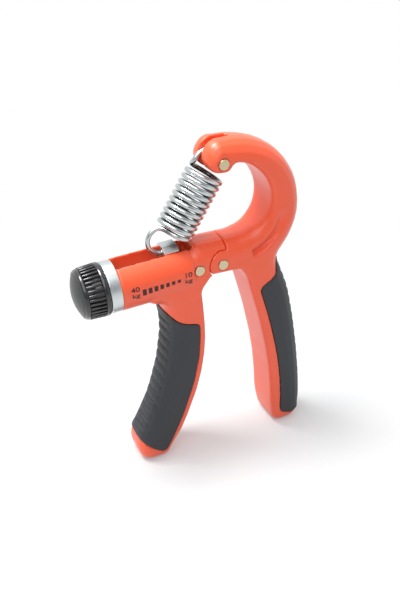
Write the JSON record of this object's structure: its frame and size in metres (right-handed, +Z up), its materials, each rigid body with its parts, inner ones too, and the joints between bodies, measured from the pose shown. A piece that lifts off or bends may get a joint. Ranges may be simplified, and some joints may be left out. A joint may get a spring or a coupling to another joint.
{
  "type": "hand grip strengthener",
  "caption": "Hand grip strengthener: hinged moulded handles with rubber grip pads, held apart by an exposed tension spring that a knob and screw adjust along a slotted barrel.",
  "frame": {"origin": "on the floor under both feet, at the middle of the bounding box seen from above", "axes": "+X from the knob towards the rear leg, +Y across the handles, +Z up"},
  "size_m": [0.1175, 0.0244, 0.1595],
  "materials": {
    "orange_plastic": "satin orange-red moulding",
    "grip_rubber": "matt black-grey rubber",
    "pin_steel": "yellow-passivated zinc plate",
    "bright_zinc": "bright zinc plate",
    "collar_metal": "fine-turned, satin",
    "black_plastic": "glossy black",
    "dark_steel": "blackened"
  },
  "bodies": {
    "frame": {"rear_frame": "orange_plastic", "rear_grip_pad": "grip_rubber", "hinge_pin": "pin_steel", "anchor_pin": "pin_steel", "tension_spring": "bright_zinc"},
    "front": {"front_handle": "orange_plastic", "front_grip_pad": "grip_rubber", "stop_pin": "pin_steel", "barrel_collar": "collar_metal"},
    "knob": {"adjuster_knob": "black_plastic", "knob_cap": "black_plastic", "knob_lock_nut": "bright_zinc", "adjusting_screw": "bright_zinc", "screw_clip": "dark_steel", "thrust_washer": "bright_zinc"},
    "nut": {"slider_nut": "bright_zinc"}
  },
  "joints": [
    {"name": "handle_hinge", "type": "hinge", "parent": "frame", "child": "front", "pos_m": [0.0089, 0, 0.1031], "axis": [0, -1, 0], "range_deg": [0, 30], "stiffness_Nm_per_rad": 10.3, "springref_deg": -8.37, "deforming": ["tension_spring"]},
    {"name": "knob_spin", "type": "hinge", "parent": "front", "child": "knob", "pos_m": [0.0089, 0, 0.1024], "axis": [-0.9972, 0, -0.075], "range_deg": [-5480, 1130]},
    {"name": "nut_slide", "type": "slide", "parent": "front", "child": "nut", "axis": [-0.9972, 0, -0.075], "range_m": [-0.0039, 0.019]}
  ],
  "couplings": [
    {"joint": "knob_spin", "follows": "nut_slide", "rad_per_m": -5026.5}
  ]
}
